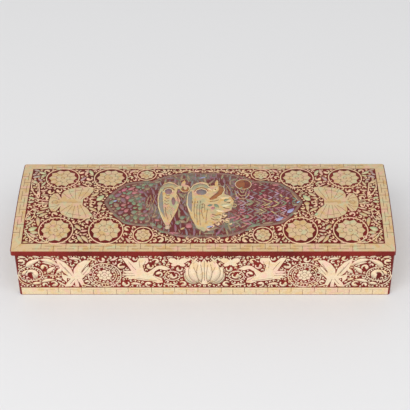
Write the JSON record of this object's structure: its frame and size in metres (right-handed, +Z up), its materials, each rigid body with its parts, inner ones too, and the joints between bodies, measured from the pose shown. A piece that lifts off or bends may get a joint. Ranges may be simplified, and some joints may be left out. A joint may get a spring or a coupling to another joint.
{
  "type": "inlaid box",
  "caption": "Long low lacquered wooden box with a gently arched hinged lid, inlaid with mother-of-pearl on the lid and sides and lined with velvet.",
  "frame": {"origin": "centre of the underside of the case, where the box stands", "axes": "+X to the right along the length, +Y to the back where the hinges are, +Z up"},
  "size_m": [0.3, 0.106, 0.0536],
  "materials": {
    "lacquered_wood": "dark red lacquer, polished",
    "bottom_board": "black-brown lacquer, satin",
    "lid_shell": "mother-of-pearl under clear lacquer, khaki gold",
    "case_shell": "mother-of-pearl under clear lacquer, warm cream",
    "abalone_shell": "abalone under clear lacquer, green and plum",
    "sun_shell": "orange-brown shell under clear lacquer",
    "brass": "polished brass",
    "lining": "deep red velvet"
  },
  "bodies": {
    "case": {"back_fret_band": "case_shell", "back_lining": "lining", "back_roundels": "case_shell", "back_wall": "lacquered_wood", "bottom_panel": "bottom_board", "floor_lining": "lining", "front_blade_sprays": "case_shell", "front_butterflies": "case_shell", "front_cranes": "case_shell", "front_fret_band": "case_shell", "front_lining": "lining", "front_lotus": "case_shell", "front_roundels": "case_shell", "front_wall": "lacquered_wood", "hinge_left_case_leaf": "brass", "hinge_left_pin": "brass", "hinge_right_case_leaf": "brass", "hinge_right_pin": "brass", "left_fret_band": "case_shell", "left_lining": "lining", "left_roundel": "case_shell", "left_wall": "lacquered_wood", "right_fret_band": "case_shell", "right_lining": "lining", "right_roundel": "case_shell", "right_wall": "lacquered_wood"},
    "lid": {"hinge_left_lid_leaf": "brass", "hinge_right_lid_leaf": "brass", "lid_board": "lacquered_wood", "lid_butterflies": "lid_shell", "lid_fret_band": "lid_shell", "lid_front_bird": "lid_shell", "lid_large_blossoms": "lid_shell", "lid_lining": "lining", "lid_medallion_ground": "abalone_shell", "lid_rear_bird": "lid_shell", "lid_small_blossoms": "lid_shell", "lid_sun": "sun_shell"}
  },
  "joints": [
    {"name": "lid_hinge", "type": "hinge", "parent": "case", "child": "lid", "pos_m": [0, 0.05155, 0.0448], "axis": [-1, 0, 0], "range_deg": [0, 98]}
  ]
}
